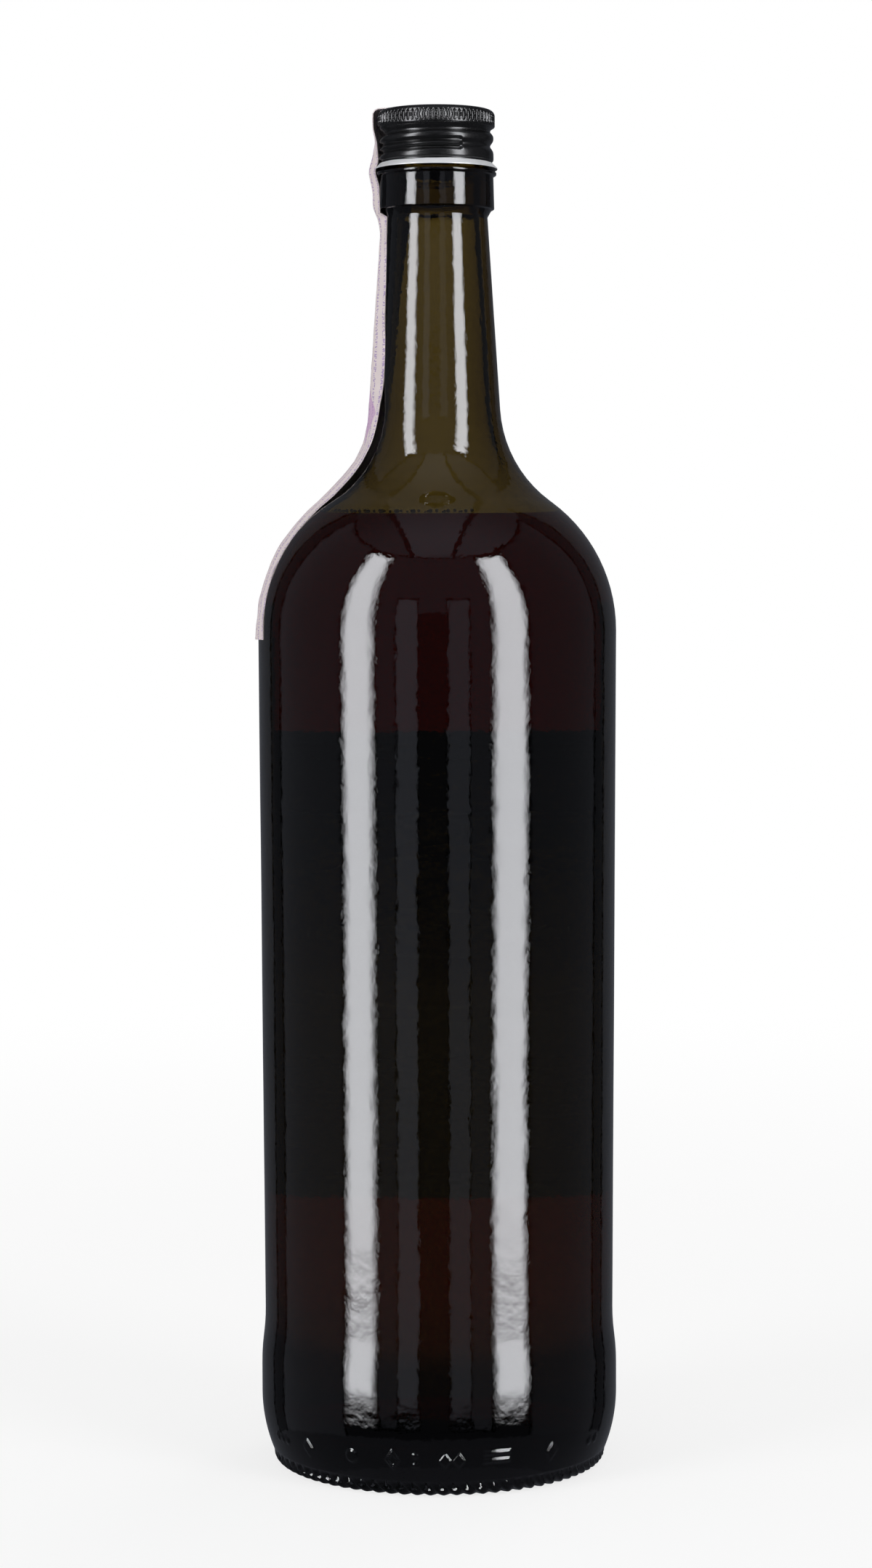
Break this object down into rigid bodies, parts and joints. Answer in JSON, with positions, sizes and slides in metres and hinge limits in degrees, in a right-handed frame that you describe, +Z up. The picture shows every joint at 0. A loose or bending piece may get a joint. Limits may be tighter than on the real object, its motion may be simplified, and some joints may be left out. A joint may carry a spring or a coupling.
{
  "type": "bottle of vermouth",
  "caption": "Tall round dark green glass bottle of red vermouth, closed by a black aluminium screw cap, with a paper seal strip over the cap and a paper label.",
  "frame": {"origin": "centre of the foot ring, on the surface the bottle stands on", "axes": "+Z up along the bottle, +Y towards the label, -X towards the seal strip"},
  "size_m": [0.0857, 0.0852, 0.3219],
  "materials": {
    "green_glass": "clear dark olive green, polished, slightly wavy",
    "red_vermouth": "clear dark red drink",
    "black_cap": "satin black lacquer, bare metal at the flared edge",
    "strip_paper": "matt pale pink, finely printed with plain lines",
    "label_paper": "matt cream with plain fields of colour"
  },
  "bodies": {
    "root": {"bottle": "green_glass", "vermouth": "red_vermouth", "screw_cap": "black_cap", "seal_strip": "strip_paper", "label": "label_paper"}
  },
  "joints": []
}
